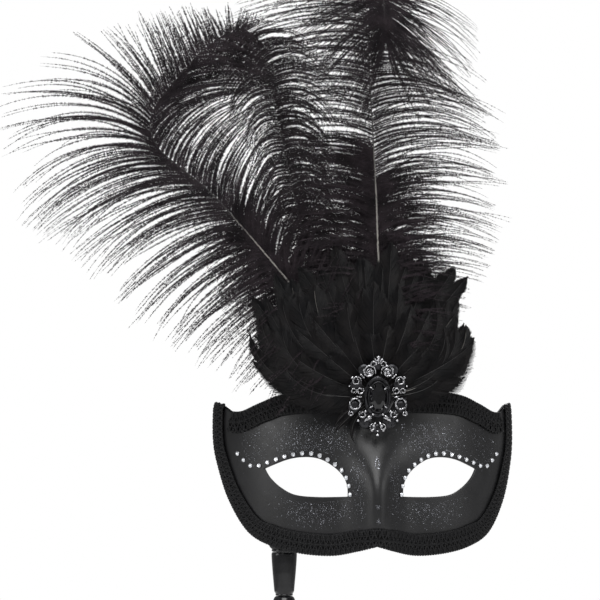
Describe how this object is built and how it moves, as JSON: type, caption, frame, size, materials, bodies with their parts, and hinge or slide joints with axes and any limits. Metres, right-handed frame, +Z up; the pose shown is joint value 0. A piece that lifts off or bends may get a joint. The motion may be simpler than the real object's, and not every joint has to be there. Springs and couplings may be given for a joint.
{
  "type": "masquerade mask",
  "caption": "Black half mask on a turned stick, with a shaped nose, edge braid, stones round the eyes, a brooch, hackles and tall plumes.",
  "frame": {"origin": "bridge of the wearer's nose, on the mask's middle line at pupil height, where the mask rests on the face", "axes": "+Z up along the face, +X to the right of someone who looks at the mask's front, -Y out of the mask's front, +Y towards the wearer"},
  "size_m": [0.2823, 0.1165, 0.5631],
  "materials": {
    "black_shell": "satin black, smooth, with silvery glitter",
    "black_felt": "black felt",
    "black_braid": "black scalloped gimp braid",
    "stones": "clear faceted, silver backed",
    "glue": "set black hot-melt glue",
    "quill": "dyed keratin, pale grey-brown",
    "vane": "black ostrich barbs, soft and fuzzy",
    "hackle": "black cock feathers, slightly glossy",
    "gunmetal": "antique gunmetal casting",
    "silver": "bright worn silver",
    "jet": "black, faceted",
    "stick": "glossy black, turned"
  },
  "bodies": {
    "mask": {"mask_shell": "black_shell", "felt_lining": "black_felt", "top_braid": "black_braid", "left_braid": "black_braid", "right_braid": "black_braid", "left_eye_stones": "stones", "right_eye_stones": "stones", "feather_pad": "black_felt", "glue_block": "glue", "back_hackles": "hackle", "left_hackles": "hackle", "right_hackles": "hackle", "front_hackles": "hackle", "brooch_casting": "gunmetal", "brooch_rings": "silver", "brooch_bezel": "gunmetal", "brooch_prongs": "silver", "brooch_gem": "jet", "brooch_crystals": "jet", "stick_bracket": "stick", "bracket_patch": "black_felt"},
    "left_plume": {"left_quill": "quill", "left_vane": "vane"},
    "middle_plume": {"middle_quill": "quill", "middle_vane": "vane"},
    "right_plume": {"right_quill": "quill", "right_vane": "vane"},
    "barrel": {"stick_barrel": "stick"},
    "lower_stick": {"stick_shaft": "stick", "stick_grip": "stick", "end_cap": "stick"}
  },
  "joints": [
    {"name": "stick_twist", "type": "hinge", "parent": "mask", "child": "barrel", "pos_m": [-0.0465, 0.0268, -0.046], "axis": [0, 0, 1], "continuous": true},
    {"name": "stick_pull", "type": "slide", "parent": "barrel", "child": "lower_stick", "axis": [0, 0, -1], "range_m": [0, 0.009]},
    {"name": "left_plume_sway", "type": "hinge", "parent": "mask", "child": "left_plume", "pos_m": [-0.006, -0.0065, 0.0508], "axis": [0, 1, 0], "range_deg": [-6, 6], "stiffness_Nm_per_rad": 0.25},
    {"name": "middle_plume_sway", "type": "hinge", "parent": "mask", "child": "middle_plume", "pos_m": [0, -0.0065, 0.0508], "axis": [0, 1, 0], "range_deg": [-6, 6], "stiffness_Nm_per_rad": 0.25},
    {"name": "right_plume_sway", "type": "hinge", "parent": "mask", "child": "right_plume", "pos_m": [0.006, -0.0065, 0.0508], "axis": [0, 1, 0], "range_deg": [-6, 6], "stiffness_Nm_per_rad": 0.25}
  ]
}
